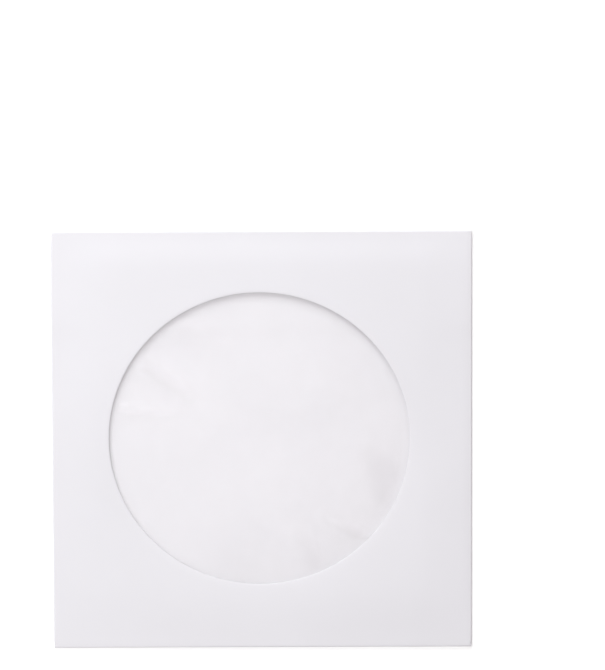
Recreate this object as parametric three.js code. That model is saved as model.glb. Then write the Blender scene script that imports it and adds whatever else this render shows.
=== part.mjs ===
// A square paper sleeve for one disc. A single sheet of white paper is die cut with a round
// window, then folded into a pocket: side flaps inwards, back panel up over them, and a closing
// flap down from the top fold. A clear film is glued behind the window.
//
// The sleeve lies on its back with the window up. X runs to the right, Y to the top fold and Z up,
// and the origin is at the middle of the sleeve on the surface that it lies on.

import * as THREE from "three";
import { mergeVertices } from "three/addons/utils/BufferGeometryUtils.js";

// Driving dimensions, in millimetres and degrees.
const sleeveWidth = 123.8;
const sleeveHeight = 127;
const paperThickness = 0.115;
const plyGap = 0.035; // air between two plies that lie flat on each other
const sideFoldGap = 0.6; // air that the springy side folds hold open

const windowDiameter = 88.9;
const windowShiftX = -0.8; // from the sleeve's middle
const windowShiftY = 0.4;
const rimRollWidth = 0.9; // the die presses the window's edge down over this width
const rimRollDepth = 0.07;

const filmThickness = 0.035;
const filmLap = 6; // how far the film reaches past the window on each side
const glueLine = 0.025;

const sideFlapWidth = 13;
const sideFlapSetback = 1.5; // from the sleeve's corner to the flap's end, along the fold
const sideFlapTaper = 6; // how much shorter each end is at the flap's inner edge

const foldEndStep = 0.1; // how far the top and bottom flaps start inside the sleeve's sides
const backPanelInset = 0.8; // of the back panel's sides from the sleeve's sides
const backCornerLength = 9; // over which that inset runs out towards the bottom corners
const mouthDrop = 9.5; // from the top fold to the back panel's free edge

const closingFlapDepth = 28;
const closingFlapSlant = 12.5; // of its sides, in degrees
const closingFlapCornerRadius = 5.5;
const closingFlapClearance = 0.3; // in front of its free edge, before the back panel slopes down
const backSlopeLength = 5; // over which the back panel slopes down off the closing flap

const pocketRise = 0.35; // how far the front panel bellies up between its folds
const riseLengthSides = 16; // over which it rises from each side fold
const riseLengthTop = 10;
const riseLengthBottom = 18;

// Creases in the film: both ends from the window's centre, how far each spreads, and its height.
const filmCreases = [
  { from: [-40, 14], to: [-22, 26], spread: 3.4, height: 0.2 },
  { from: [-42, 3], to: [-33, 12], spread: 2.8, height: 0.14 },
  { from: [33, -2], to: [39, -20], spread: 3.6, height: 0.2 },
  { from: [24, -26], to: [33, -28], spread: 3, height: 0.16 },
  { from: [8, -33], to: [24, -37], spread: 3.2, height: 0.18 },
];
const creaseFadeWidth = 9; // over which they die out towards the window's rim

// How finely the curves are cut into facets.
const stepsPerSide = 24; // of the window's rim and of the panel's edge, for each of four sides
const bendSteps = 6; // of each half turn
const flapCornerSteps = 6; // of each rounded corner of the closing flap
const marginRings = 2; // from the window's rim to the film's edge
const panelRings = 5; // from the film's edge to the folds

const { lerp, smoothstep, degToRad } = THREE.MathUtils;

// Heights of the plies' middles above the table. The outermost ply lies on it.
const plyPitch = paperThickness + plyGap;
const outerLevel = paperThickness / 2;
const sideFoldSpan = paperThickness + sideFoldGap;

// The front panel ends where its folds begin, so that each fold's outside is at the sleeve's edge.
const sideBendRadius = sideFoldSpan / 2;
const bottomBendRadius = (plyPitch + sideFoldSpan) / 2;
const topBendRadius = plyPitch + sideFoldSpan / 2;
const panelHalfWidth = sleeveWidth / 2 - paperThickness / 2 - sideBendRadius;
const panelTop = sleeveHeight / 2 - paperThickness / 2 - topBendRadius;
const panelBottom = -sleeveHeight / 2 + paperThickness / 2 + bottomBendRadius;

// The back panel slopes up in front of the closing flap's free edge, to lie on the flap.
const slopeEnd = sleeveHeight / 2 - closingFlapDepth - closingFlapClearance;
const slopeStart = slopeEnd - backSlopeLength;
const mouthEdge = sleeveHeight / 2 - mouthDrop;

const windowRadius = windowDiameter / 2;
const filmHalfWidth = windowRadius + filmLap;

/** Height of the back panel's middle: on the table, or one ply up over the closing flap. */
function backLevel(y) {
  return outerLevel + plyPitch * smoothstep(y, slopeStart, slopeEnd);
}

/** Height of a side flap's middle, which lies on the back panel. */
function sideFlapLevel(y) {
  return backLevel(y) + plyPitch;
}

/** Height of the front panel's middle along a side fold. */
function sideFoldLevel(y) {
  return sideFlapLevel(y) + sideFoldSpan;
}

/** How far the window's edge is pressed down, at a distance from the window's centre. */
function rimRoll(radius) {
  return rimRollDepth * (1 - smoothstep(radius, windowRadius, windowRadius + rimRollWidth));
}

/** Height of the front panel's middle: held down at its folds, bellied up between them. */
function frontLevel(x, y) {
  const across = smoothstep(panelHalfWidth - Math.abs(x), 0, riseLengthSides);
  const fromBottom = smoothstep(y - panelBottom, 0, riseLengthBottom);
  const fromTop = smoothstep(panelTop - y, 0, riseLengthTop);
  const along = (y - panelBottom) / (panelTop - panelBottom);
  const straight = lerp(sideFoldLevel(panelBottom), sideFoldLevel(panelTop), along);
  const belly = pocketRise * across * fromBottom * fromTop;
  const radius = Math.hypot(x - windowShiftX, y - windowShiftY);
  return lerp(sideFoldLevel(y), straight, across) + belly - rimRoll(radius);
}

/** Height of a film crease at a point given from the window's centre. */
function creaseHeight(crease, point) {
  const line = new THREE.Line3(new THREE.Vector3(...crease.from, 0), new THREE.Vector3(...crease.to, 0));
  const nearest = line.closestPointToPoint(point, true, new THREE.Vector3());
  return crease.height * Math.exp(-((nearest.distanceTo(point) / crease.spread) ** 2));
}

/** Height of the film's middle: glued under the front panel, with creases inside the window. */
function filmLevel(x, y) {
  const point = new THREE.Vector3(x - windowShiftX, y - windowShiftY, 0);
  const loose = smoothstep(windowRadius - point.length(), 0, creaseFadeWidth);
  const creased = filmCreases.reduce((sum, crease) => sum + creaseHeight(crease, point), 0);
  const drop = paperThickness / 2 + glueLine + filmThickness / 2;
  return frontLevel(x, y) - drop + loose * creased;
}

/** Splits the way from start to end into equal steps, and leaves the end out. */
function steps(start, end, count) {
  return Array.from({ length: count }, (_, i) => lerp(start, end, i / count));
}

/** Places along a side fold, from bottom to top: the flap's ends and the back panel's slope. */
function sideStations() {
  const slantRoom = 1.4 * sideFlapTaper; // a flap's slanted end stays within one step
  const bottomEnd = -sleeveHeight / 2 + sideFlapSetback;
  const topEnd = sleeveHeight / 2 - sideFlapSetback;
  const straightStart = bottomEnd + slantRoom;
  const straightEnd = topEnd - slantRoom;
  const endSteps = 4;
  const slopeSteps = 3;
  const upperSteps = 4;
  const lowerSteps = stepsPerSide - endSteps - slopeSteps - upperSteps;
  return [
    panelBottom,
    bottomEnd,
    ...steps(straightStart, slopeStart, lowerSteps),
    ...steps(slopeStart, slopeEnd, slopeSteps),
    ...steps(slopeEnd, straightEnd, upperSteps),
    straightEnd,
    topEnd,
    panelTop,
  ];
}

const stations = sideStations();
const windowCentre = new THREE.Vector2(windowShiftX, windowShiftY);

/** Directions from the window's centre, anticlockwise from the lower right corner's. */
function rays(perSide) {
  return steps(-Math.PI / 4, (7 * Math.PI) / 4, 4 * perSide).map(
    (angle) => new THREE.Vector2(Math.cos(angle), Math.sin(angle)),
  );
}

/** A round ring of points about the window's centre. */
function circle(radius, perSide = stepsPerSide) {
  return rays(perSide).map((ray) => windowCentre.clone().addScaledVector(ray, radius));
}

/** A square ring of points about the window's centre. */
function square(halfWidth) {
  return rays(stepsPerSide).map((ray) => {
    const reach = halfWidth / Math.max(Math.abs(ray.x), Math.abs(ray.y));
    return windowCentre.clone().addScaledVector(ray, reach);
  });
}

/** The front panel's edge, anticlockwise from its lower right corner. */
function panelOutline() {
  const acrossTop = steps(panelHalfWidth, -panelHalfWidth, stepsPerSide);
  return [
    ...stations.slice(0, -1).map((y) => new THREE.Vector2(panelHalfWidth, y)),
    ...acrossTop.map((x) => new THREE.Vector2(x, panelTop)),
    ...stations.slice(1).reverse().map((y) => new THREE.Vector2(-panelHalfWidth, y)),
    ...acrossTop.map((x) => new THREE.Vector2(-x, panelBottom)),
  ];
}

/** Rings that lead evenly from one ring of points to another. The first ring is left out. */
function ringsBetween(inner, outer, count) {
  return Array.from({ length: count }, (_, i) =>
    inner.map((point, j) => point.clone().lerp(outer[j], (i + 1) / count)),
  );
}

/** Rings from the window's rim to the film's edge, where the film is glued to the front panel. */
function glueMargin() {
  const rollEdge = circle(windowRadius + rimRollWidth);
  return [circle(windowRadius), rollEdge, ...ringsBetween(rollEdge, square(filmHalfWidth), marginRings)];
}

/** Lifts flat points to a height that depends on where they are. */
function lift(points, level) {
  return points.map((point) => new THREE.Vector3(point.x, point.y, level(point.x, point.y)));
}

/** Triangles between neighbouring rows. Rows run outwards and their points anticlockwise. */
function stitch(rows, closed) {
  const triangles = [];
  for (let i = 1; i < rows.length; i++) {
    const inner = rows[i - 1];
    const outer = rows[i];
    const cells = closed ? inner.length : inner.length - 1;
    for (let j = 0; j < cells; j++) {
      const next = (j + 1) % inner.length;
      triangles.push(inner[j], outer[j], outer[next]);
      triangles.push(inner[j], outer[next], inner[next]);
    }
  }
  return triangles;
}

/** Rows that carry an edge through a half turn down to its flap, widening it on the way. */
function bend(edge, outward, flapLevel, widening = 1) {
  return Array.from({ length: bendSteps }, (_, i) => {
    const turned = (i + 1) / bendSteps;
    return edge.map((start) => {
      const radius = (start.z - flapLevel(start.y)) / 2;
      const row = start.clone().addScaledVector(outward, radius * Math.sin(turned * Math.PI));
      row.x *= lerp(1, widening, turned);
      row.z -= radius * (1 - Math.cos(turned * Math.PI));
      return row;
    });
  });
}

/** A row of points straight across the sleeve, spread as the points of an edge are. */
function across(edge, halfWidth, y, level) {
  const spread = halfWidth / panelHalfWidth;
  return edge.map((point) => new THREE.Vector3(spread * point.x, y, level));
}

/** Rows of the back panel, from the bottom fold to its free edge. */
function backPanel(edge) {
  const cornerTop = panelBottom + backCornerLength;
  const cornerSteps = 4;
  const heights = [
    ...steps(panelBottom, cornerTop, cornerSteps).slice(1),
    cornerTop,
    ...stations.filter((y) => y > cornerTop && y < mouthEdge),
    mouthEdge,
  ];
  return heights.map((y) => {
    const inset = lerp(foldEndStep, backPanelInset, smoothstep(y, panelBottom, cornerTop));
    return across(edge, sleeveWidth / 2 - inset, y, backLevel(y));
  });
}

/** Rows of the closing flap, from the top fold down to its rounded lower corners. */
function closingFlap(edge) {
  const slant = degToRad(closingFlapSlant);
  const radius = closingFlapCornerRadius;
  const halfWidthAt = (depth) => sleeveWidth / 2 - foldEndStep - depth * Math.tan(slant);
  const arcDepth = closingFlapDepth - radius;
  const arcMiddle = halfWidthAt(arcDepth) - radius / Math.cos(slant);
  const straightDepth = arcDepth + radius * Math.sin(slant);
  const foldDepth = sleeveHeight / 2 - panelTop;
  const straightSteps = 4;
  const straightRows = steps(foldDepth, straightDepth, straightSteps)
    .slice(1)
    .map((depth) => [halfWidthAt(depth), depth]);
  const arcRows = [...steps(slant, Math.PI / 2, flapCornerSteps), Math.PI / 2].map((turn) => [
    arcMiddle + radius * Math.cos(turn),
    arcDepth + radius * Math.sin(turn),
  ]);
  return [...straightRows, ...arcRows].map(([halfWidth, depth]) =>
    across(edge, halfWidth, sleeveHeight / 2 - depth, outerLevel),
  );
}

/** Rows of a side flap, from its fold to its inner edge, with slanted ends. */
function sideFlap(edge) {
  const rowCount = 2;
  const foldX = edge[0].x;
  const innerX = Math.sign(foldX) * (sleeveWidth / 2 - sideFlapWidth);
  return Array.from({ length: rowCount }, (_, i) => {
    const share = (i + 1) / rowCount;
    return edge.map((point, j) => {
      const isEnd = j === 0 || j === edge.length - 1;
      const y = point.y - (isEnd ? Math.sign(point.y) * sideFlapTaper * share : 0);
      return new THREE.Vector3(lerp(foldX, innerX, share), y, sideFlapLevel(y));
    });
  });
}

/** The middle surface of the whole folded sheet, as triangles that share their corners. */
function foldedSheet() {
  const rings = [
    ...glueMargin(),
    ...ringsBetween(square(filmHalfWidth), panelOutline(), panelRings),
  ].map((ring) => lift(ring, frontLevel));
  const outline = [...rings.at(-1), rings.at(-1)[0]];
  const side = (index) => outline.slice(index * stepsPerSide, (index + 1) * stepsPerSide + 1);
  const [right, top, left, bottom] = [0, 1, 2, 3].map(side);
  const rightFold = right.slice(1, -1);
  const leftFold = left.slice(1, -1);
  const widening = (sleeveWidth / 2 - foldEndStep) / panelHalfWidth;
  const rightward = new THREE.Vector3(1, 0, 0);
  const topward = new THREE.Vector3(0, 1, 0);
  const leftward = rightward.clone().negate();
  const bottomward = topward.clone().negate();
  const onTable = () => outerLevel;
  return [
    ...stitch(rings, true),
    ...stitch([rightFold, ...bend(rightFold, rightward, sideFlapLevel), ...sideFlap(rightFold)], false),
    ...stitch([leftFold, ...bend(leftFold, leftward, sideFlapLevel), ...sideFlap(leftFold)], false),
    ...stitch([bottom, ...bend(bottom, bottomward, onTable, widening), ...backPanel(bottom)], false),
    ...stitch([top, ...bend(top, topward, onTable, widening), ...closingFlap(top)], false),
  ];
}

/** The middle surface of the film: a disc in the window, then the margin that is glued. */
function filmSheet() {
  const pointsPerSide = Array.from({ length: stepsPerSide / 2 }, (_, i) => 2 * (i + 1));
  const discRings = pointsPerSide.map((perSide) =>
    lift(circle((windowRadius * perSide) / stepsPerSide, perSide), filmLevel),
  );
  const marginSheet = glueMargin().map((ring) => lift(ring, filmLevel));
  const [centre] = lift([windowCentre], filmLevel);
  const innermost = discRings[0];
  return [
    ...innermost.flatMap((point, j) => [centre, point, innermost[(j + 1) % innermost.length]]),
    ...discRings.slice(1).flatMap((ring, i) => stitchGrowing(discRings[i], ring)),
    ...stitch(marginSheet, true),
  ];
}

/** Triangles between a ring and the next one out, which has two more points on each side. */
function stitchGrowing(inner, outer) {
  const triangles = [];
  const innerSide = inner.length / 4;
  const outerSide = outer.length / 4;
  for (let side = 0; side < 4; side++) {
    const innerAt = (j) => inner[(side * innerSide + j) % inner.length];
    const outerAt = (j) => outer[(side * outerSide + j) % outer.length];
    triangles.push(innerAt(0), outerAt(0), outerAt(1));
    for (let j = 0; j < innerSide; j++) {
      triangles.push(innerAt(j), outerAt(j + 1), outerAt(j + 2));
      triangles.push(innerAt(j), outerAt(j + 2), innerAt(j + 1));
    }
    triangles.push(innerAt(innerSide), outerAt(innerSide + 1), outerAt(innerSide + 2));
  }
  return triangles;
}

/** Gives a surface its thickness, half to each side, and closes it along its free edges. */
function thicken(triangles, thickness) {
  const surface = mergeVertices(new THREE.BufferGeometry().setFromPoints(triangles));
  surface.computeVertexNormals();
  const middle = surface.getAttribute("position");
  const normals = surface.getAttribute("normal");
  const corners = surface.index.array;
  const skins = [thickness / 2, -thickness / 2].flatMap((offset) =>
    Array.from({ length: middle.count }, (_, i) => {
      const normal = new THREE.Vector3().fromBufferAttribute(normals, i);
      return new THREE.Vector3().fromBufferAttribute(middle, i).addScaledVector(normal, offset);
    }),
  );
  const under = middle.count;
  const faces = [];
  const freeEdges = new Map();
  for (let i = 0; i < corners.length; i += 3) {
    const [a, b, c] = corners.slice(i, i + 3);
    faces.push(a, b, c, under + a, under + c, under + b);
    for (const [start, end] of [[a, b], [b, c], [c, a]]) {
      const opposite = `${end} ${start}`;
      if (freeEdges.has(opposite)) freeEdges.delete(opposite);
      else freeEdges.set(`${start} ${end}`, [start, end]);
    }
  }
  for (const [start, end] of freeEdges.values()) {
    faces.push(end, start, under + start, end, under + start, under + end);
  }
  const solid = new THREE.BufferGeometry().setFromPoints(skins);
  solid.setIndex(faces);
  solid.computeVertexNormals();
  return solid;
}

const whitePaper = new THREE.MeshStandardMaterial({ color: 0xf3f1f6, roughness: 0.85, metalness: 0 });
const clearFilm = new THREE.MeshStandardMaterial({
  color: 0xf1f1f4,
  roughness: 0.18,
  metalness: 0,
  transparent: true,
  opacity: 0.3,
});

const paperSleeve = new THREE.Mesh(thicken(foldedSheet(), paperThickness), whitePaper);
paperSleeve.name = "paper_sleeve";

const windowFilm = new THREE.Mesh(thicken(filmSheet(), filmThickness), clearFilm);
windowFilm.name = "window_film";

const sleeve = new THREE.Group();
sleeve.add(paperSleeve, windowFilm);

export default sleeve;
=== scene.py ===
"""A square paper sleeve for one disc, with a clear film window, lying face up on a pale table.

The sheet is folded as a maker folds it: the round window is cut first, then the side flaps turn
in, the back panel turns up over them, and the closing flap turns down behind the back panel.
X runs to the right, Y to the top fold and Z up. Lengths are in metres.
"""

import logging
import math
from dataclasses import dataclass, field
from enum import Enum
from typing import Callable

import bmesh
import bpy
from mathutils import Matrix, Vector, noise


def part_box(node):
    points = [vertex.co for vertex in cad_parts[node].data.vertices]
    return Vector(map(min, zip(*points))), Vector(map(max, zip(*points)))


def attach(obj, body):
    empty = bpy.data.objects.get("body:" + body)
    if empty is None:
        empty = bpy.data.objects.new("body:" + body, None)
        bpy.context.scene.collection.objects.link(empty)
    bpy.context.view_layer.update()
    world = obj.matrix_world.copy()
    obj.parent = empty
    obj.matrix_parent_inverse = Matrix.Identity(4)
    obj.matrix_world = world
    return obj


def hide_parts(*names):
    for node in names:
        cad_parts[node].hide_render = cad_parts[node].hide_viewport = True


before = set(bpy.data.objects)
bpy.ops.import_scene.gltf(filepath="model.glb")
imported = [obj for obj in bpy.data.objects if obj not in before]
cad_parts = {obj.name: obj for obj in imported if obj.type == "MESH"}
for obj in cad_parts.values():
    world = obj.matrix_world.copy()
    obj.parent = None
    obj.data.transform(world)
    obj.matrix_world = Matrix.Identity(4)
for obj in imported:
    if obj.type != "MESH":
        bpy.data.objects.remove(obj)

MM = 0.001
CREASE_MARK = "crease_mark"
log = logging.getLogger("disc_sleeve")

Colour = tuple[float, float, float, float]
WHITE: Colour = (1, 1, 1, 1)
LAMP_COLOUR = (0.96, 1, 1)

# Vertices nearer than this are one vertex.
WELD_REACH = 0.001 * MM
# Edges that turn by more than this are cut edges, and are bevelled in so many steps.
CUT_EDGE_ANGLE = math.radians(60)
CUT_EDGE_STEPS = 2
# Edges that turn by less than this are shaded smooth.
SMOOTH_ANGLE = math.radians(40)
# Nearly all values of a Noise Texture lie between these.
NOISE_LOW = 0.25
NOISE_HIGH = 0.75
# A Mix node's sockets share their names, so its share, two colours and result are found by place.
MIX_INPUTS = (0, 6, 7)
MIX_RESULT = 2


class Side(Enum):
    """A side of the sleeve, by the sign of its X."""

    LEFT = -1
    RIGHT = 1


class Flap(Enum):
    """A flap that turns about a fold across the sleeve, by the sign of the fold's Y."""

    BACK = -1
    CLOSING = 1


def smooth_step(value: float, start: float, end: float) -> float:
    """Rises smoothly from 0 at start to 1 at end.

    Args:
        value: where to read the rise.
        start: where it leaves 0.
        end: where it reaches 1.

    Returns:
        A number from 0 to 1.
    """
    share = min(max((value - start) / (end - start), 0.0), 1.0)
    return share * share * (3 - 2 * share)


def mix(first: float, second: float, share: float) -> float:
    """Returns the value that lies a share of the way from first to second."""
    return first + (second - first) * share


def steps_between(start: float, end: float, count: int) -> list[float]:
    """Returns count values in equal steps from start to end, with start left out."""
    return [mix(start, end, (i + 1) / count) for i in range(count)]


@dataclass(frozen=True)
class SleeveSizes:
    """Sizes of the sleeve's sheet and film."""

    width: float
    height: float
    paper: float = 0.115 * MM
    ply_gap: float = 0.035 * MM
    side_fold_gap: float = 0.6 * MM
    window_radius: float = 44.45 * MM
    window_x: float = -0.8 * MM
    window_y: float = 0.4 * MM
    rim_roll_width: float = 0.9 * MM
    rim_roll_depth: float = 0.035 * MM
    film: float = 0.035 * MM
    film_lap: float = 6 * MM
    glue_line: float = 0.05 * MM
    side_flap_width: float = 13 * MM
    side_flap_setback: float = 1.5 * MM
    side_flap_taper: float = 6 * MM
    fold_end_step: float = 0.1 * MM
    back_inset: float = 0.8 * MM
    back_corner_length: float = 9 * MM
    mouth_drop: float = 9.5 * MM
    closing_depth: float = 28 * MM
    closing_slant: float = math.radians(12.5)
    closing_corner: float = 5.5 * MM
    closing_clearance: float = 0.3 * MM
    back_slope_length: float = 5 * MM
    pocket_rise: float = 0.35 * MM
    rise_sides: float = 16 * MM
    rise_top: float = 10 * MM
    rise_bottom: float = 18 * MM

    @property
    def pitch(self) -> float:
        """Height from one flat ply to the next."""
        return self.paper + self.ply_gap

    @property
    def outer_level(self) -> float:
        """Height of the middle of the ply that lies on the table."""
        return self.paper / 2

    @property
    def side_span(self) -> float:
        """Height that a side fold spans, between the middles of its plies."""
        return self.paper + self.side_fold_gap

    @property
    def half_panel(self) -> float:
        """Half the width of the front panel between the side folds' bends."""
        return self.width / 2 - self.paper / 2 - self.side_span / 2

    @property
    def half_fold(self) -> float:
        """Half the length of the top and bottom folds."""
        return self.width / 2 - self.fold_end_step

    @property
    def flap_end(self) -> float:
        """How far from the middle the side flaps' folds end."""
        return self.height / 2 - self.side_flap_setback

    @property
    def panel_top(self) -> float:
        """Y at which the top fold's bend starts."""
        return self.height / 2 - self.paper / 2 - self.pitch - self.side_span / 2

    @property
    def panel_bottom(self) -> float:
        """Y at which the bottom fold's bend starts."""
        return -self.height / 2 + self.paper / 2 + (self.pitch + self.side_span) / 2

    @property
    def slope_end(self) -> float:
        """Y above which the back panel lies on the closing flap."""
        return self.height / 2 - self.closing_depth - self.closing_clearance


@dataclass(frozen=True)
class Crease:
    """A soft ridge in the film, from the rim inwards. Its ends are places from the window's centre."""

    start: tuple[float, float]
    end: tuple[float, float]
    spread: float
    height: float
    fade_start: float = 0.2
    fade_end: float = 1.2

    def lift(self, x: float, y: float) -> float:
        """Finds the ridge's height at a point.

        Args:
            x: place across, measured from the window's centre.
            y: place along, measured from the window's centre.

        Returns:
            How far the ridge stands above the film.
        """
        from_start = Vector((x, y)) - Vector(self.start)
        along = Vector(self.end) - Vector(self.start)
        reach = from_start.dot(along) / along.length_squared
        away = (from_start - along * min(max(reach, 0.0), 1.0)).length
        fade = 1 - smooth_step(reach, self.fade_start, self.fade_end)
        return self.height * fade * math.exp(-((away / self.spread) ** 2))


FILM_CREASES = (
    Crease((-38 * MM, 25.5 * MM), (-19 * MM, 12 * MM), 2.2 * MM, 0.26 * MM),
    Crease((-29 * MM, 34 * MM), (-11 * MM, 30 * MM), 3.4 * MM, 0.16 * MM),
    Crease((-43 * MM, 9.5 * MM), (-22 * MM, 7.5 * MM), 1.3 * MM, 0.11 * MM),
    Crease((38.5 * MM, -22 * MM), (32 * MM, -2 * MM), 4.0 * MM, 0.16 * MM),
    Crease((41 * MM, -11 * MM), (26 * MM, -1 * MM), 3.2 * MM, 0.11 * MM),
    Crease((44 * MM, -8 * MM), (22 * MM, 2 * MM), 13 * MM, 0.05 * MM),
    Crease((32 * MM, 31 * MM), (17 * MM, 12 * MM), 11 * MM, 0.05 * MM),
    Crease((34 * MM, -32 * MM), (19 * MM, -23 * MM), 1.9 * MM, 0.24 * MM),
    Crease((17 * MM, -40 * MM), (10 * MM, -25 * MM), 2.8 * MM, 0.14 * MM),
)


@dataclass(frozen=True)
class Lie:
    """How the sleeve lies: the height of each ply's middle at a point."""

    sizes: SleeveSizes
    wave_length: float = 46 * MM
    wave_height: float = 0.05 * MM
    crinkle_length: float = 9 * MM
    crinkle_height: float = 0.035 * MM
    crease_fade: float = 5 * MM
    crease_full: float = 0.15 * MM
    flap_ridge_height: float = 0.05 * MM
    flap_ridge_spread: float = 2.6 * MM
    shoulder_height: float = 0.12 * MM
    shoulder_width: float = 2.2 * MM
    sag_depth: float = 0.6 * MM
    sag_spread: float = 9.5 * MM
    sag_direction: float = math.radians(-80)
    sag_facing_start: float = -0.6
    sag_facing_end: float = 0.7

    def back(self, y: float) -> float:
        """Finds the back panel's height: on the table, or one ply up on the closing flap.

        Args:
            y: place along the sleeve.

        Returns:
            The height of the panel's middle above the table.
        """
        s = self.sizes
        slope_start = s.slope_end - s.back_slope_length
        return s.outer_level + s.pitch * smooth_step(y, slope_start, s.slope_end)

    def side_flap(self, y: float) -> float:
        """Returns a side flap's height, which lies on the back panel."""
        return self.back(y) + self.sizes.pitch

    def side_fold(self, y: float) -> float:
        """Returns the front panel's height along a side fold."""
        return self.side_flap(y) + self.sizes.side_span

    def rise_across(self, x: float) -> float:
        """Returns how freely the front panel rises between its side folds, from 0 at a fold to 1."""
        return smooth_step(self.sizes.half_panel - abs(x), 0, self.sizes.rise_sides)

    def rise_along(self, y: float) -> float:
        """Finds how freely the front panel rises between the bottom fold and the top fold.

        Args:
            y: place along the sleeve.

        Returns:
            A number from 0 at the folds to 1.
        """
        s = self.sizes
        from_bottom = smooth_step(y - s.panel_bottom, 0, s.rise_bottom)
        return from_bottom * smooth_step(s.panel_top - y, 0, s.rise_top)

    def front(self, x: float, y: float) -> float:
        """Returns the front panel's height, held down at its folds and bellied up between them.

        Args:
            x: place across the sleeve.
            y: place along the sleeve.

        Returns:
            The height of the panel's middle above the table.
        """
        s = self.sizes
        across = self.rise_across(x)
        along = (y - s.panel_bottom) / (s.panel_top - s.panel_bottom)
        straight = mix(self.side_fold(s.panel_bottom), self.side_fold(s.panel_top), along)
        wave = self.wave_height * noise.noise(Vector((x, y, 0)) / self.wave_length)
        ridge_x = s.width / 2 - s.side_flap_width - self.flap_ridge_spread / 2
        ridge = math.exp(-(((x - ridge_x) / self.flap_ridge_spread) ** 2))
        radius = math.hypot(x - s.window_x, y - s.window_y)
        roll = 1 - smooth_step(radius, s.window_radius, s.window_radius + s.rim_roll_width)
        loose = s.pocket_rise + wave + self.flap_ridge_height * ridge - self.sag(x, y)
        rise = across * self.rise_along(y) * loose + self.shoulder(x, y)
        return mix(self.side_fold(y), straight, across) + rise - s.rim_roll_depth * roll

    def shoulder(self, x: float, y: float) -> float:
        """Finds how far the panel stands up just inside its right fold, which is the rounder one.

        Args:
            x: place across the sleeve.
            y: place along the sleeve.

        Returns:
            The shoulder's height.
        """
        from_fold = self.sizes.half_panel - x
        rise = smooth_step(from_fold, 0, self.shoulder_width)
        fade = 1 - smooth_step(from_fold, self.shoulder_width, self.sizes.rise_sides)
        return self.shoulder_height * self.rise_along(y) * rise * fade

    def sag(self, x: float, y: float) -> float:
        """Finds how far the window's rim hangs down, which it does most towards the bottom.

        Args:
            x: place across the sleeve.
            y: place along the sleeve.

        Returns:
            The drop, steepest in the paper just outside the rim and level in the film inside it.
        """
        s = self.sizes
        from_x = x - s.window_x
        from_y = y - s.window_y
        away = (math.hypot(from_x, from_y) - s.window_radius) / self.sag_spread
        facing = math.cos(math.atan2(from_y, from_x) - self.sag_direction)
        fade = math.exp(-away if away > 0 else -away * away)
        return self.sag_depth * smooth_step(facing, self.sag_facing_start, self.sag_facing_end) * fade

    def film(self, x: float, y: float) -> float:
        """Returns the film's height: under the front panel, with creases inside the window.

        Args:
            x: place across the sleeve.
            y: place along the sleeve.

        Returns:
            The height of the film's middle above the table.
        """
        s = self.sizes
        crinkle = self.crinkle_height * noise.noise(Vector((x, y, 1)) / self.crinkle_length)
        drop = s.paper / 2 + s.glue_line + s.film / 2
        return self.front(x, y) - drop + self.loose(x, y) * crinkle + self.creases(x, y)

    def loose(self, x: float, y: float) -> float:
        """Returns how free the film is at a point, from 0 where it is glued to 1."""
        radius = math.hypot(x - self.sizes.window_x, y - self.sizes.window_y)
        return smooth_step(self.sizes.window_radius - radius, 0, self.crease_fade)

    def creases(self, x: float, y: float) -> float:
        """Finds how far the creases lift the film.

        Args:
            x: place across the sleeve.
            y: place along the sleeve.

        Returns:
            The creases' height at that place.
        """
        s = self.sizes
        lifts = (crease.lift(x - s.window_x, y - s.window_y) for crease in FILM_CREASES)
        return self.loose(x, y) * sum(lifts)

    def crease_mark(self, x: float, y: float) -> float:
        """Returns how strongly the film is creased at a point, from 0 to 1."""
        return 1 - math.exp(-self.creases(x, y) / self.crease_full)


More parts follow.
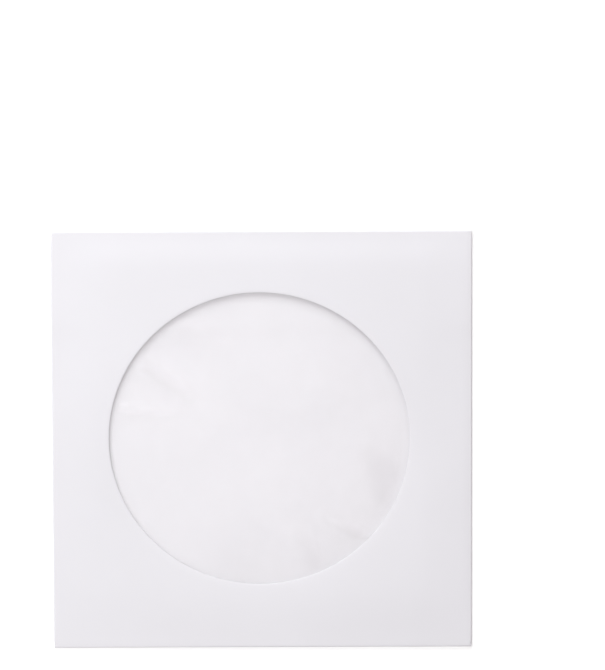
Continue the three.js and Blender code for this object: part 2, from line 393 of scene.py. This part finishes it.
class Bench:
    """Opens a piece for editing, selects in it by place, and moves what is selected."""

    def __init__(self, piece: bpy.types.Object) -> None:
        """Keeps the piece and makes it the only one selected.

        Args:
            piece: the mesh object to work on.
        """
        self.piece = piece
        bpy.ops.object.select_all(action="DESELECT")
        piece.select_set(True)
        bpy.context.view_layer.objects.active = piece

    def __enter__(self) -> "Bench":
        """Opens edit mode with nothing selected.

        Returns:
            This bench.
        """
        bpy.ops.object.mode_set(mode="EDIT")
        bpy.ops.mesh.select_mode(type="VERT")
        bpy.ops.mesh.select_all(action="DESELECT")
        return self

    def __exit__(self, *_: object) -> None:
        """Closes edit mode."""
        bpy.ops.object.mode_set(mode="OBJECT")

    def select(self, test: Callable[[Vector], bool]) -> None:
        """Selects the vertices whose place passes a test, and the edges between them.

        Args:
            test: says whether a place is wanted.
        """
        form = bmesh.from_edit_mesh(self.piece.data)
        for vertex in form.verts:
            vertex.select_set(test(vertex.co))
        form.select_flush_mode()
        bmesh.update_edit_mesh(self.piece.data)

    def select_edges_across(self, test: Callable[[Vector], bool]) -> None:
        """Selects the edges that have one end whose place passes a test and one whose place fails.

        Args:
            test: says whether a place is wanted.
        """
        bpy.ops.mesh.select_mode(type="EDGE")
        form = bmesh.from_edit_mesh(self.piece.data)
        for edge in form.edges:
            first, last = edge.verts
            edge.select_set(test(first.co) != test(last.co))
        bmesh.update_edit_mesh(self.piece.data)

    def place(self, where: Callable[[Vector], Vector]) -> None:
        """Moves each selected vertex to a place worked out from where it is.

        Args:
            where: gives the new place for an old one.
        """
        form = bmesh.from_edit_mesh(self.piece.data)
        for vertex in form.verts:
            if vertex.select:
                vertex.co = where(vertex.co)
        bmesh.update_edit_mesh(self.piece.data)

    def extrude(self, x: float = 0.0, y: float = 0.0, z: float = 0.0) -> None:
        """Extrudes the selected edges by a step."""
        bpy.ops.mesh.extrude_region_move(TRANSFORM_OT_translate={"value": (x, y, z)})

    def stretch(self, x: float, y: float, middle: tuple[float, float] = (0.0, 0.0)) -> None:
        """Scales what is selected about a middle.

        Args:
            x: factor across the sleeve.
            y: factor along the sleeve.
            middle: the place that stays.
        """
        bpy.ops.transform.resize(value=(x, y, 1), center_override=(*middle, 0))

    def half_turn(self, steps: int, centre: Vector, axis: tuple[int, int, int]) -> None:
        """Turns the selected edges through half a turn about a fold.

        Args:
            steps: how many facets the bend gets.
            centre: a point of the fold's axis.
            axis: its direction.
        """
        bpy.ops.mesh.spin(steps=steps, angle=math.pi, center=centre, axis=axis)


def give_thickness(piece: bpy.types.Object, thickness: float, edge_round: float) -> None:
    """Gives a sheet its thickness, half to each side, and dulls its cut edges a little.

    Args:
        piece: the sheet's middle surface.
        thickness: of the sheet.
        edge_round: width of the bevel on its cut edges.
    """
    with Bench(piece):
        bpy.ops.mesh.select_all(action="SELECT")
        bpy.ops.mesh.remove_doubles(threshold=WELD_REACH)
        bpy.ops.mesh.normals_make_consistent(inside=False)
    wall = piece.modifiers.new("wall", "SOLIDIFY")
    wall.thickness = thickness
    wall.offset = 0
    cut = piece.modifiers.new("cut_edge", "BEVEL")
    cut.width = edge_round
    cut.segments = CUT_EDGE_STEPS
    cut.limit_method = "ANGLE"
    cut.angle_limit = CUT_EDGE_ANGLE
    for modifier in (wall.name, cut.name):
        bpy.ops.object.modifier_apply(modifier=modifier)
    bpy.ops.object.shade_smooth_by_angle(angle=SMOOTH_ANGLE)


@dataclass
class FoldedSheet:
    """The one die-cut sheet of paper, folded into the sleeve's pocket."""

    sizes: SleeveSizes
    lie: Lie
    rim_points: int = 256
    roll_rings: int = 3
    panel_rings: int = 34
    bend_steps: int = 10
    side_flap_rows: int = 8
    back_corner_rows: int = 9
    back_rows: int = 36
    slope_rows: int = 10
    mouth_rows: int = 12
    closing_rows: int = 12
    closing_corner_rows: int = 10
    touch: float = 0.005 * MM
    share_touch: float = 0.000005
    edge_round: float = 0.02 * MM
    piece: bpy.types.Object = field(init=False)

    def build(self, finish: bpy.types.Material) -> bpy.types.Object:
        """Makes the sheet from its window outwards and folds it.

        Args:
            finish: the paper's material.

        Returns:
            The finished piece.
        """
        self.cut_window()
        self.spread_panel()
        for side in Side:
            self.turn_side_flap(side)
        self.settle()
        for flap in Flap:
            self.turn_flap(flap)
        give_thickness(self.piece, self.sizes.paper, self.edge_round)
        self.piece.data.materials.append(finish)
        return self.piece

    @property
    def flat_level(self) -> float:
        """Height at which the panel is spread out before it settles."""
        return self.lie.side_fold(self.sizes.panel_bottom)

    @property
    def half_side_points(self) -> float:
        """How many of the rim's points go with each of the outline's eight half sides."""
        return self.rim_points / 8

    def cut_window(self) -> None:
        """Starts from the window's round edge, with the roll that the die leaves round it."""
        s = self.sizes
        middle = (s.window_x, s.window_y)
        bpy.ops.mesh.primitive_circle_add(
            vertices=self.rim_points, radius=s.window_radius, location=(*middle, self.flat_level)
        )
        self.piece = bpy.context.object
        self.piece.name = self.piece.data.name = "folded_paper"
        bpy.ops.object.transform_apply(location=True, rotation=True, scale=True)
        with Bench(self.piece) as bench:
            bpy.ops.mesh.select_all(action="SELECT")
            radius = s.window_radius
            for wider in steps_between(radius, radius + s.rim_roll_width, self.roll_rings):
                bench.extrude()
                bench.stretch(wider / radius, wider / radius, middle)
                radius = wider

    def spread_panel(self) -> None:
        """Spreads the front panel out from the window's roll to the folds, in even rings."""
        s = self.sizes
        roll_end = s.window_radius + s.rim_roll_width
        with Bench(self.piece) as bench:
            bench.select(lambda co: self.from_window(co) > roll_end - self.touch)
            bench.extrude()
            bench.place(self.on_outline)
            bench.select_edges_across(lambda co: self.from_window(co) > roll_end + self.touch)
            bpy.ops.mesh.subdivide(number_cuts=self.panel_rings)

    def from_window(self, co: Vector) -> float:
        """Returns how far a place is from the window's centre."""
        return math.hypot(co.x - self.sizes.window_x, co.y - self.sizes.window_y)

    def on_outline(self, co: Vector) -> Vector:
        """Finds where a point round the window comes to lie on the front panel's edge.

        Args:
            co: a point on a circle round the window.

        Returns:
            A place on the panel's edge. A side flap's fold ends one point short of each corner.
        """
        s = self.sizes
        quarter = math.pi / 2
        turned = (math.atan2(co.y - s.window_y, co.x - s.window_x) + quarter / 2) / quarter
        side = math.floor(turned + self.share_touch)
        share = 2 * (turned - side) - 1
        if side % 2 == 0:
            sign = 1 if side == 0 else -1
            reach = abs(share) / (1 - 1 / self.half_side_points)
            if reach < 1 + self.share_touch:
                along = math.copysign(reach * s.flap_end, share)
                return Vector((sign * s.half_panel, sign * along, co.z))
            corner_y = s.panel_top if sign * share > 0 else s.panel_bottom
            return Vector((sign * s.half_fold, corner_y, co.z))
        sign = 1 if side == 1 else -1
        return Vector((-sign * share * s.half_fold, s.panel_top if sign > 0 else s.panel_bottom, co.z))

    def turn_side_flap(self, side: Side) -> None:
        """Turns a side flap in under the front panel, with slanted ends.

        Args:
            side: the side of the sleeve that the flap is on.
        """
        s = self.sizes
        sign = side.value
        level = self.flat_level
        edge = s.half_panel - self.touch
        with Bench(self.piece) as bench:
            bench.select(lambda co: co.x * sign > edge and abs(co.y) < s.flap_end + self.touch)
            centre = Vector((sign * s.half_panel, 0, level - s.side_span / 2))
            bench.half_turn(self.bend_steps, centre, (0, -sign, 0))
            reach = s.half_panel
            inner = s.width / 2 - s.side_flap_width
            half_length = s.flap_end
            for row in range(self.side_flap_rows):
                share = (row + 1) / self.side_flap_rows
                next_reach = mix(s.half_panel, inner, share)
                next_half_length = s.flap_end - s.side_flap_taper * share
                bench.extrude(x=sign * (next_reach - reach))
                bench.stretch(1, next_half_length / half_length)
                reach = next_reach
                half_length = next_half_length

    def settle(self) -> None:
        """Lays the flat panel and its side flaps at the heights that they come to rest at."""
        level = self.flat_level

        def rest(co: Vector) -> Vector:
            """Finds where a point of the panel, a side fold or a side flap comes to rest.

            Args:
                co: the point's place while the panel is flat.

            Returns:
                Its place at rest.
            """
            if co.z > level - self.touch:
                return Vector((co.x, co.y, self.lie.front(co.x, co.y)))
            return Vector((co.x, co.y, co.z + self.lie.side_fold(co.y) - level))

        with Bench(self.piece) as bench:
            bpy.ops.mesh.select_all(action="SELECT")
            bench.place(rest)

    def turn_flap(self, flap: Flap) -> None:
        """Turns the back panel or the closing flap about its fold and shapes its outline.

        Args:
            flap: which of the two to turn.
        """
        s = self.sizes
        sign = flap.value
        fold_y = s.panel_top if flap is Flap.CLOSING else s.panel_bottom
        outline = self.closing_outline() if flap is Flap.CLOSING else self.back_outline()
        level = s.outer_level
        with Bench(self.piece) as bench:
            bench.select(lambda co: sign * (co.y - fold_y) > -self.touch)
            centre = Vector((0, fold_y, (self.lie.side_fold(fold_y) + level) / 2))
            bench.half_turn(self.bend_steps, centre, (sign, 0, 0))
            y = fold_y
            half_width = s.half_fold
            for next_half_width, next_y in outline:
                next_level = s.outer_level if flap is Flap.CLOSING else self.lie.back(next_y)
                bench.extrude(y=next_y - y, z=next_level - level)
                bench.stretch(next_half_width / half_width, 1, (0, next_y))
                y = next_y
                level = next_level
                half_width = next_half_width

    def back_outline(self) -> list[tuple[float, float]]:
        """Lists the back panel's rows.

        Returns:
            Each row's half width and Y, from the fold to the mouth.
        """
        s = self.sizes
        corner_end = s.panel_bottom + s.back_corner_length
        slope_start = s.slope_end - s.back_slope_length
        heights = [
            *steps_between(s.panel_bottom, corner_end, self.back_corner_rows),
            *steps_between(corner_end, slope_start, self.back_rows),
            *steps_between(slope_start, s.slope_end, self.slope_rows),
            *steps_between(s.slope_end, s.height / 2 - s.mouth_drop, self.mouth_rows),
        ]
        shares = (smooth_step(y, s.panel_bottom, corner_end) for y in heights)
        insets = (mix(s.fold_end_step, s.back_inset, share) for share in shares)
        return [(s.width / 2 - inset, y) for inset, y in zip(insets, heights)]

    def closing_outline(self) -> list[tuple[float, float]]:
        """Lists the closing flap's rows.

        Returns:
            Each row's half width and Y, from the fold to the end of the rounded corners.
        """
        s = self.sizes
        radius = s.closing_corner
        arc_depth = s.closing_depth - radius
        straight_end = arc_depth + radius * math.sin(s.closing_slant)
        slant = math.tan(s.closing_slant)
        arc_middle = s.half_fold - arc_depth * slant - radius / math.cos(s.closing_slant)
        top = s.height / 2
        straight = [
            (s.half_fold - depth * slant, top - depth)
            for depth in steps_between(top - s.panel_top, straight_end, self.closing_rows)
        ]
        arc = [
            (arc_middle + radius * math.cos(turn), top - arc_depth - radius * math.sin(turn))
            for turn in steps_between(s.closing_slant, math.pi / 2, self.closing_corner_rows)
        ]
        return straight + arc


@dataclass
class WindowFilm:
    """The square of clear film that is glued behind the window."""

    sizes: SleeveSizes
    lie: Lie
    cells: int = 160
    edge_round: float = 0.008 * MM

    def build(self, finish: bpy.types.Material) -> bpy.types.Object:
        """Makes the film, lays it against the front panel and creases it.

        Args:
            finish: the film's material.

        Returns:
            The finished piece.
        """
        s = self.sizes
        bpy.ops.object.select_all(action="DESELECT")
        bpy.ops.mesh.primitive_grid_add(
            x_subdivisions=self.cells,
            y_subdivisions=self.cells,
            size=2 * (s.window_radius + s.film_lap),
            location=(s.window_x, s.window_y, 0),
        )
        piece = bpy.context.object
        piece.name = piece.data.name = "clear_film"
        bpy.ops.object.transform_apply(location=True, rotation=True, scale=True)
        with Bench(piece) as bench:
            bpy.ops.mesh.select_all(action="SELECT")
            bench.place(lambda co: Vector((co.x, co.y, self.lie.film(co.x, co.y))))
        # The creases' mark, which the film's material also uses to place its painted shade.
        marks = piece.data.attributes.new(CREASE_MARK, "FLOAT", "POINT")
        for vertex, mark in zip(piece.data.vertices, marks.data):
            mark.value = self.lie.crease_mark(vertex.co.x, vertex.co.y)
        give_thickness(piece, s.film, self.edge_round)
        piece.data.materials.append(finish)
        return piece


class Board:
    """Adds nodes to a material or a group and wires them up."""

    def __init__(self, tree: bpy.types.NodeTree) -> None:
        """Keeps the tree and clears it.

        Args:
            tree: the node tree to work on.
        """
        self.tree = tree
        tree.nodes.clear()

    def add(self, kind: str, **values: object) -> bpy.types.Node:
        """Adds a node.

        Args:
            kind: the node's type, without its ShaderNode prefix where it has one.
            **values: what its sockets are set or wired to, with _ for a space in a socket's name.

        Returns:
            The new node.
        """
        name = kind if kind.startswith("NodeGroup") else f"ShaderNode{kind}"
        node = self.tree.nodes.new(name)
        self.feed(node, **values)
        return node

    def feed(self, node: bpy.types.Node, **values: object) -> None:
        """Sets or wires a node's inputs by name.

        Args:
            node: the node whose inputs are fed.
            **values: a socket to wire, or a value to set.
        """
        for name, value in values.items():
            socket = node.inputs[name.replace("_", " ")]
            if isinstance(value, bpy.types.NodeSocket):
                self.tree.links.new(value, socket)
            else:
                socket.default_value = value

    def math(self, operation: str, first: object, second: object) -> bpy.types.NodeSocket:
        """Adds a sum, product or the like of two values.

        Args:
            operation: the Math node's operation.
            first: a socket or a number.
            second: a socket or a number.

        Returns:
            The result's socket.
        """
        node = self.tree.nodes.new("ShaderNodeMath")
        node.operation = operation
        for socket, value in zip(node.inputs, (first, second)):
            if isinstance(value, bpy.types.NodeSocket):
                self.tree.links.new(value, socket)
            else:
                socket.default_value = value
        return node.outputs[0]

    def blend(self, share: bpy.types.NodeSocket, first: Colour, last: Colour) -> bpy.types.NodeSocket:
        """Adds a colour that goes from one to another.

        Args:
            share: a mask, 0 at the first colour and 1 at the last.
            first: the colour at 0.
            last: the colour at 1.

        Returns:
            The colour's socket.
        """
        node = self.tree.nodes.new("ShaderNodeMix")
        node.data_type = "RGBA"
        share_socket, first_socket, last_socket = (node.inputs[index] for index in MIX_INPUTS)
        self.tree.links.new(share, share_socket)
        first_socket.default_value = first
        last_socket.default_value = last
        return node.outputs[MIX_RESULT]

    def group(self, group: bpy.types.NodeTree, **values: object) -> bpy.types.NodeSocket:
        """Places a group.

        Args:
            group: the node group.
            **values: what its inputs are set or wired to.

        Returns:
            Its first output.
        """
        node = self.tree.nodes.new("ShaderNodeGroup")
        node.node_tree = group
        self.feed(node, **values)
        return node.outputs[0]


def cloudy_group() -> bpy.types.NodeTree:
    """Builds the node group that varies a value in soft clouds over a surface.

    Returns:
        The group, with inputs Vector, Scale, Detail, Lowest and Highest, and output Value.
    """
    group = bpy.data.node_groups.new("soft_clouds", "ShaderNodeTree")
    board = Board(group)
    sockets = group.interface
    sockets.new_socket("Vector", in_out="INPUT", socket_type="NodeSocketVector")
    for name in ("Scale", "Detail", "Lowest", "Highest"):
        sockets.new_socket(name, in_out="INPUT", socket_type="NodeSocketFloat")
    sockets.new_socket("Value", in_out="OUTPUT", socket_type="NodeSocketFloat")
    given = board.add("NodeGroupInput").outputs
    clouds = board.add("TexNoise", Vector=given["Vector"], Scale=given["Scale"], Detail=given["Detail"])
    spread = board.add("MapRange", Value=clouds.outputs["Fac"], From_Min=NOISE_LOW, From_Max=NOISE_HIGH)
    spread.clamp = False
    board.feed(spread, To_Min=given["Lowest"], To_Max=given["Highest"])
    board.add("NodeGroupOutput", Value=spread.outputs["Result"])
    return group


@dataclass(frozen=True)
class PaperFinish:
    """Uncoated white paper: faint clouds of tone, slight cockle, and a fine felt of fibres."""

    clouds: bpy.types.NodeTree
    bright: Colour = (0.905, 0.888, 0.925, 1)
    dull: Colour = (0.885, 0.868, 0.903, 1)
    roughness: float = 0.82
    sheen: float = 0.25
    cloud_scale: float = 30
    cloud_detail: float = 3
    cockle_scale: float = 210
    cockle_detail: float = 2
    fibre_scale: float = 2600
    fibre_detail: float = 5
    fibre_height: float = 0.35
    bump_distance: float = 0.02 * MM
    bump_strength: float = 0.5

    def material(self) -> bpy.types.Material:
        """Builds the paper's material.

        Returns:
            The material.
        """
        paper = bpy.data.materials.new("white_paper")
        paper.use_nodes = True
        board = Board(paper.node_tree)
        place = board.add("TexCoord").outputs["Object"]
        layers = (
            (self.cloud_scale, self.cloud_detail, 1),
            (self.cockle_scale, self.cockle_detail, 1),
            (self.fibre_scale, self.fibre_detail, self.fibre_height),
        )
        tone, cockle, fibres = (
            board.group(self.clouds, Vector=place, Scale=scale, Detail=detail, Lowest=0, Highest=highest)
            for scale, detail, highest in layers
        )
        colour = board.blend(tone, self.dull, self.bright)
        bump = board.add("Bump", Height=board.math("ADD", cockle, fibres))
        board.feed(bump, Strength=self.bump_strength, Distance=self.bump_distance)
        shader = board.add("BsdfPrincipled", Base_Color=colour, Roughness=self.roughness)
        board.feed(shader, Normal=bump.outputs[0], Specular_IOR_Level=self.sheen)
        board.add("OutputMaterial", Surface=shader.outputs[0])
        return paper


@dataclass(frozen=True)
class FilmFinish:
    """Thin clear film: glossy, a little milky and denser at a slant, with painted shade that makes it
    greyer along its creases and a faint painted glow.
    """

    clouds: bpy.types.NodeTree
    tint: Colour = (1, 0.985, 0.985, 1)
    crease_painted_shade: Colour = (0.77, 0.75, 0.77, 1)
    clearest: float = 0.07
    milkiest: float = 0.12
    crease_shade_density: float = 0.14
    slant_density: float = 0.5
    painted_glow: float = 0.165
    slant_power: float = 4
    smoothest: float = 0.1
    roughest: float = 0.2
    coat: float = 0.5
    coat_roughness: float = 0.05
    cloud_scale: float = 45
    cloud_detail: float = 2
    ripple_scale: float = 120
    ripple_detail: float = 1
    bump_distance: float = 0.04 * MM
    bump_strength: float = 0.4

    def material(self) -> bpy.types.Material:
        """Builds the film's material.

        Returns:
            The material.
        """
        film = bpy.data.materials.new("clear_film")
        film.use_nodes = True
        board = Board(film.node_tree)
        place = board.add("TexCoord").outputs["Object"]
        marks = board.tree.nodes.new("ShaderNodeAttribute")
        marks.attribute_name = CREASE_MARK
        crease = marks.outputs["Fac"]
        layers = (
            (self.cloud_scale, self.cloud_detail, self.clearest, self.milkiest),
            (self.cloud_scale, self.ripple_detail, self.smoothest, self.roughest),
            (self.ripple_scale, self.ripple_detail, 0, 1),
        )
        milk, gloss, ripple = (
            board.group(self.clouds, Vector=place, Scale=scale, Detail=detail, Lowest=low, Highest=high)
            for scale, detail, low, high in layers
        )
        slant = board.math("POWER", board.add("LayerWeight").outputs["Facing"], self.slant_power)
        density = board.math("ADD", milk, board.math("MULTIPLY", slant, self.slant_density))
        # Painted shade: along the creases the film is made denser and greyer, standing in for their
        # shadows.
        density = board.math("ADD", density, board.math("MULTIPLY", crease, self.crease_shade_density))
        colour = board.blend(crease, self.tint, self.crease_painted_shade)
        bump = board.add("Bump", Height=ripple)
        board.feed(bump, Strength=self.bump_strength, Distance=self.bump_distance)
        shader = board.add("BsdfPrincipled", Base_Color=colour, Roughness=gloss, Alpha=density)
        board.feed(shader, Coat_Weight=self.coat, Coat_Roughness=self.coat_roughness)
        # Painted light: the film glows faintly in its own tint, which brightens the window.
        board.feed(shader, Emission_Color=self.tint, Emission_Strength=self.painted_glow)
        board.feed(shader, Normal=bump.outputs[0])
        board.add("OutputMaterial", Surface=shader.outputs[0])
        return film


@dataclass(frozen=True)
class SoftLight:
    """A round soft light that looks at the sleeve's middle."""

    name: str
    turn: float
    elevation: float
    distance: float
    size: float
    power: float

    def hang(self) -> None:
        """Hangs the light. Its turn goes from the top fold towards the left."""
        lamp = bpy.data.lights.new(self.name, "AREA")
        lamp.shape = "DISK"
        lamp.size = self.size
        lamp.energy = self.power
        lamp.color = LAMP_COLOUR
        light = bpy.data.objects.new(self.name, lamp)
        bpy.context.scene.collection.objects.link(light)
        level = math.cos(self.elevation)
        towards = Vector(
            (-math.sin(self.turn) * level, math.cos(self.turn) * level, math.sin(self.elevation))
        )
        light.location = towards * self.distance
        light.rotation_euler = towards.to_track_quat("Z", "Y").to_euler()


SOFT_LIGHTS = (
    SoftLight(
        name="key_light",
        turn=math.radians(12),
        elevation=math.radians(25),
        distance=1.1,
        size=0.8,
        power=12.2,
    ),
    SoftLight(
        name="left_light",
        turn=math.radians(95),
        elevation=math.radians(62),
        distance=0.5,
        size=0.6,
        power=0.95,
    ),
    SoftLight(
        name="front_fill",
        turn=math.radians(180),
        elevation=math.radians(12),
        distance=1.0,
        size=0.5,
        power=2.0,
    ),
)


@dataclass(frozen=True)
class Studio:
    """A pale table under soft light, seen from above."""

    clouds: bpy.types.NodeTree
    sizes: SleeveSizes
    table_size: float = 12.0
    table_drop: float = 0.05 * MM
    table_colour: Colour = (0.93, 0.93, 0.93, 1)
    table_glow: float = 0.38
    covered_margin: float = 1 * MM
    grain_scale: float = 3
    grain_detail: float = 2
    smoothest: float = 0.6
    roughest: float = 0.7
    sky_level: float = 0.288
    sky_colour: Colour = (1, 0.9, 0.91, 1)
    ground_level: float = 0.9
    focal_length: float = 547.7
    near_clip: float = 0.1
    far_clip: float = 50.0
    camera_distance: float = 3.0
    camera_elevation: float = math.radians(103.65)
    camera_roll: float = math.radians(-0.2)
    aim: tuple[float, float, float] = (12.03 * MM, 31.56 * MM, 0.0)

    def build(self) -> None:
        """Sets the table, the sky, the lights and the camera."""
        self.table()
        self.sky()
        for light in SOFT_LIGHTS:
            light.hang()
        self.camera()
        bpy.context.scene.view_settings.view_transform = "Standard"

    @staticmethod
    def seen(board: Board) -> bpy.types.NodeSocket:
        """Makes a mask of the rays that look at a surface, directly or through gloss and glass.

        Args:
            board: where the mask's nodes go.

        Returns:
            The mask's socket, 1 for such rays and 0 for those that carry light.
        """
        path = board.add("LightPath").outputs
        direct = board.math("MAXIMUM", path["Is Camera Ray"], path["Is Glossy Ray"])
        return board.math("MAXIMUM", direct, path["Is Transmission Ray"])

    def table(self) -> bpy.types.Object:
        """Makes the table, which looks white, keeps shadows and can't be seen from below.

        It is open under the sleeve, so that light reaches the sleeve's back when seen from below.

        Returns:
            The table's object.
        """
        bpy.ops.object.select_all(action="DESELECT")
        bpy.ops.mesh.primitive_plane_add(size=self.table_size, location=(0, 0, -self.table_drop))
        table = bpy.context.object
        table.name = table.data.name = "table"
        bpy.ops.object.transform_apply(location=True, rotation=True, scale=True)
        wide = self.sizes.width - 2 * self.covered_margin
        high = self.sizes.height - 2 * self.covered_margin
        with Bench(table) as bench:
            bpy.ops.mesh.select_all(action="SELECT")
            bpy.ops.mesh.inset(thickness=(self.table_size - wide) / 2)
            bench.stretch(1, high / wide)
            bpy.ops.mesh.delete(type="FACE")
        top = bpy.data.materials.new("pale_table")
        top.use_nodes = True
        board = Board(top.node_tree)
        glow = board.math("MULTIPLY", self.seen(board), self.table_glow)
        behind = board.add("NewGeometry").outputs["Backfacing"]
        hidden = board.math("MULTIPLY", behind, board.add("LightPath").outputs["Is Camera Ray"])
        place = board.add("TexCoord").outputs["Object"]
        grain = board.group(
            self.clouds,
            Vector=place,
            Scale=self.grain_scale,
            Detail=self.grain_detail,
            Lowest=self.smoothest,
            Highest=self.roughest,
        )
        shader = board.add("BsdfPrincipled", Base_Color=self.table_colour, Roughness=grain)
        board.feed(shader, Emission_Color=WHITE, Emission_Strength=glow)
        board.feed(shader, Alpha=board.math("SUBTRACT", 1, hidden))
        board.add("OutputMaterial", Surface=shader.outputs[0])
        table.data.materials.append(top)
        return table

    def sky(self) -> None:
        """Lights the scene softly from all round, more from below, and looks white where it is seen."""
        world = bpy.data.worlds.new("studio_sky")
        world.use_nodes = True
        bpy.context.scene.world = world
        board = Board(world.node_tree)
        direction = board.add("SeparateXYZ", Vector=board.add("TexCoord").outputs["Generated"])
        below = board.math("LESS_THAN", direction.outputs["Z"], 0)
        ground = board.math("MULTIPLY", below, self.ground_level)
        seen = self.seen(board)
        level = board.math("MAXIMUM", board.math("MAXIMUM", ground, self.sky_level), seen)
        colour = board.blend(board.math("MAXIMUM", below, seen), self.sky_colour, WHITE)
        sky = board.add("Background", Color=colour, Strength=level)
        board.add("OutputWorld", Surface=sky.outputs[0])

    def camera(self) -> None:
        """Sets the camera above the sleeve, leaning a little over its top fold."""
        lens = bpy.data.cameras.new("camera")
        lens.lens = self.focal_length
        lens.clip_start = self.near_clip
        lens.clip_end = self.far_clip
        camera = bpy.data.objects.new("camera", lens)
        bpy.context.scene.collection.objects.link(camera)
        back = Vector((0, -math.cos(self.camera_elevation), math.sin(self.camera_elevation)))
        right = Vector((1, 0, 0))
        turn = Matrix((right, back.cross(right), back)).transposed()
        turn = turn @ Matrix.Rotation(self.camera_roll, 3, "Z")
        camera.location = Vector(self.aim) + back * self.camera_distance
        camera.rotation_euler = turn.to_euler()
        bpy.context.scene.camera = camera


def main() -> None:
    """Builds the sleeve and the studio round it."""
    logging.basicConfig(level=logging.INFO, format="%(name)s: %(message)s")
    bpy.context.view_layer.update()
    low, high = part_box("paper_sleeve")
    sizes = SleeveSizes(width=high.x - low.x, height=high.y - low.y)
    lie = Lie(sizes)
    clouds = cloudy_group()
    builds = (
        (FoldedSheet(sizes, lie), PaperFinish(clouds), "paper_sleeve", "paper"),
        (WindowFilm(sizes, lie), FilmFinish(clouds), "window_film", "film"),
    )
    for maker, finish, node, slot in builds:
        piece = maker.build(finish.material())
        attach(piece, "root")
        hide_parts(node)
        log.info("%s: %d faces, stands for %s", piece.name, len(piece.data.polygons), node)
    Studio(clouds, sizes).build()
    log.info("studio: table, sky, lights and camera")


if __name__ == "__main__":
    main()
